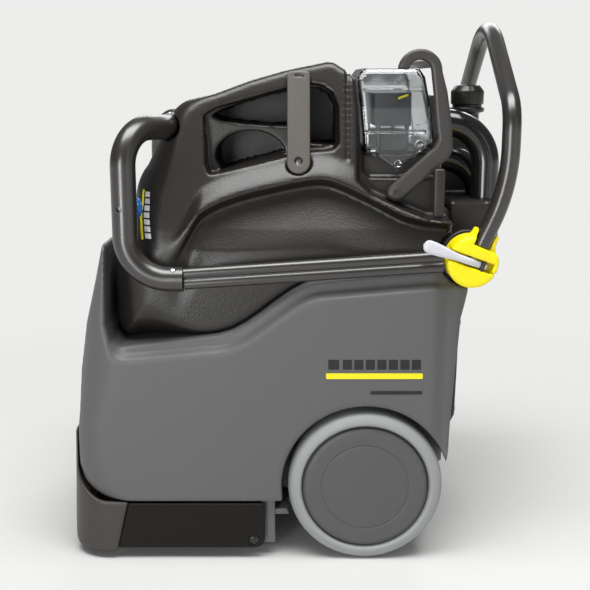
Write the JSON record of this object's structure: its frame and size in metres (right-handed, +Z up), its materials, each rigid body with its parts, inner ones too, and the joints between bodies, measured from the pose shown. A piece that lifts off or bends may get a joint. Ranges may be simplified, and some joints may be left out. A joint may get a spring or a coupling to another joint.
{
  "type": "carpet spot extractor",
  "caption": "Carpet spray extractor with grey lower tank, black recovery tank, clear dome, tubular frame, folding handle and rear wheels.",
  "frame": {"origin": "centre of the bounding box on the floor plane", "axes": "+Z up, -X towards the brush head at the front, -Y towards the left side"},
  "size_m": [0.625, 0.454, 0.7595],
  "materials": {
    "grey_shell": "rotomoulded satin grey",
    "black_shell": "rotomoulded fine-grained black",
    "dark_moulding": "satin black moulding",
    "brown_cover": "satin dark brown-grey moulding",
    "tube_black": "powder coated satin black",
    "tyre_grey": "light grey non-marking rubber",
    "hub_grey": "satin grey",
    "yellow_plastic": "semi-gloss yellow",
    "lever_grey": "light grey satin",
    "strap_grey": "satin grey moulding",
    "clear": "clear polycarbonate",
    "hose_black": "glossy black",
    "black_gloss": "semi-gloss black",
    "steel": "zinc plated",
    "aluminium": "cast",
    "blue_plastic": "gloss blue",
    "red_plastic": "gloss red",
    "clamp_clear": "translucent white",
    "seal_black": "soft black rubber",
    "badge": "printed film",
    "orange_plastic": "gloss orange",
    "white_plastic": "natural white",
    "bristle": "nylon bristle"
  },
  "bodies": {
    "chassis": {"solution_tank": "grey_shell", "base_plate": "dark_moulding", "front_cover": "brown_cover", "side_plates": "dark_moulding", "side_plate_screws": "steel", "wheel_axle": "steel", "axle_clips": "steel", "brush_housing": "dark_moulding", "brush_bearings": "steel", "drive_belt": "seal_black", "brush_motor": "aluminium", "suction_shoe": "dark_moulding", "spray_bar": "steel", "vacuum_motor": "aluminium", "solution_pump": "dark_moulding", "solution_filter": "white_plastic", "recovery_tank": "black_shell", "tank_strap_left": "strap_grey", "tank_strap_right": "strap_grey", "strap_screws": "steel", "badges": "badge", "inspection_dome": "clear", "dome_seal": "seal_black", "intake_deflector": "dark_moulding", "float_cage": "white_plastic", "bail_pins": "dark_moulding", "rear_posts": "dark_moulding", "vacuum_housing": "dark_moulding", "hose_upper": "hose_black", "hose_lower": "hose_black", "hose_clamps": "clamp_clear", "defoamer_stack": "black_gloss", "front_loop": "tube_black", "side_rails": "tube_black", "loop_screws": "steel", "hinge_plates": "black_gloss", "hinge_bolts": "steel", "rear_cover": "dark_moulding", "rear_cover_screws": "steel", "power_inlet": "black_gloss"},
    "wheel_left": {"tyre_left": "tyre_grey", "rim_left": "hub_grey", "hub_cover_left": "hub_grey"},
    "wheel_right": {"tyre_right": "tyre_grey", "rim_right": "hub_grey", "hub_cover_right": "hub_grey"},
    "brush": {"brush_roller": "bristle", "brush_pulley": "aluminium"},
    "motor_rotor": {"motor_pulley": "aluminium"},
    "handle": {"handle_loop": "tube_black", "joint_housing_left": "yellow_plastic", "joint_housing_right": "yellow_plastic", "cam_pins": "steel"},
    "lever_left": {"cam_lever_left": "lever_grey"},
    "lever_right": {"cam_lever_right": "lever_grey"},
    "bail": {"dome_bail": "dark_moulding"},
    "float": {"float_ball": "orange_plastic"},
    "cap": {"blue_cap": "blue_plastic"},
    "rocker_1": {"rocker_vacuum": "red_plastic"},
    "rocker_2": {"rocker_brush": "red_plastic"}
  },
  "joints": [
    {"name": "wheel_left_spin", "type": "hinge", "parent": "chassis", "child": "wheel_left", "pos_m": [0.107, -0.18, 0.11], "axis": [0, 1, 0], "continuous": true},
    {"name": "wheel_right_spin", "type": "hinge", "parent": "chassis", "child": "wheel_right", "pos_m": [0.107, 0.18, 0.11], "axis": [0, 1, 0], "continuous": true},
    {"name": "brush_spin", "type": "hinge", "parent": "chassis", "child": "brush", "pos_m": [-0.226, 0, 0.052], "axis": [0, 1, 0], "continuous": true},
    {"name": "motor_spin", "type": "hinge", "parent": "chassis", "child": "motor_rotor", "pos_m": [-0.092, 0.181, 0.13], "axis": [0, 1, 0], "continuous": true},
    {"name": "handle_fold", "type": "hinge", "parent": "chassis", "child": "handle", "pos_m": [0.245, 0, 0.437], "axis": [0, 1, 0], "range_deg": [0, 70]},
    {"name": "lever_left_clamp", "type": "hinge", "parent": "handle", "child": "lever_left", "pos_m": [0.25816, -0.219, 0.43221], "axis": [0.342, 0, 0.9397], "range_deg": [0, 95]},
    {"name": "lever_right_clamp", "type": "hinge", "parent": "handle", "child": "lever_right", "pos_m": [0.25816, 0.219, 0.43221], "axis": [-0.342, 0, -0.9397], "range_deg": [0, 95]},
    {"name": "bail_swing", "type": "hinge", "parent": "chassis", "child": "bail", "pos_m": [0.148, 0, 0.521], "axis": [0, 1, 0], "range_deg": [0, 14]},
    {"name": "float_rise", "type": "slide", "parent": "chassis", "child": "float", "axis": [0, 0, 1], "range_m": [0, 0.044]},
    {"name": "cap_turn", "type": "hinge", "parent": "chassis", "child": "cap", "pos_m": [-0.2115, -0.1675, 0.505], "axis": [-0.6428, -0.766, 0], "range_deg": [0, 90]},
    {"name": "rocker_vacuum_press", "type": "hinge", "parent": "chassis", "child": "rocker_1", "pos_m": [0.304, 0.046, 0.476], "axis": [0, -1, 0], "range_deg": [0, 14]},
    {"name": "rocker_brush_press", "type": "hinge", "parent": "chassis", "child": "rocker_2", "pos_m": [0.304, 0.076, 0.476], "axis": [0, -1, 0], "range_deg": [0, 14]}
  ],
  "couplings": [
    {"joint": "motor_spin", "follows": "brush_spin", "ratio": 2}
  ]
}
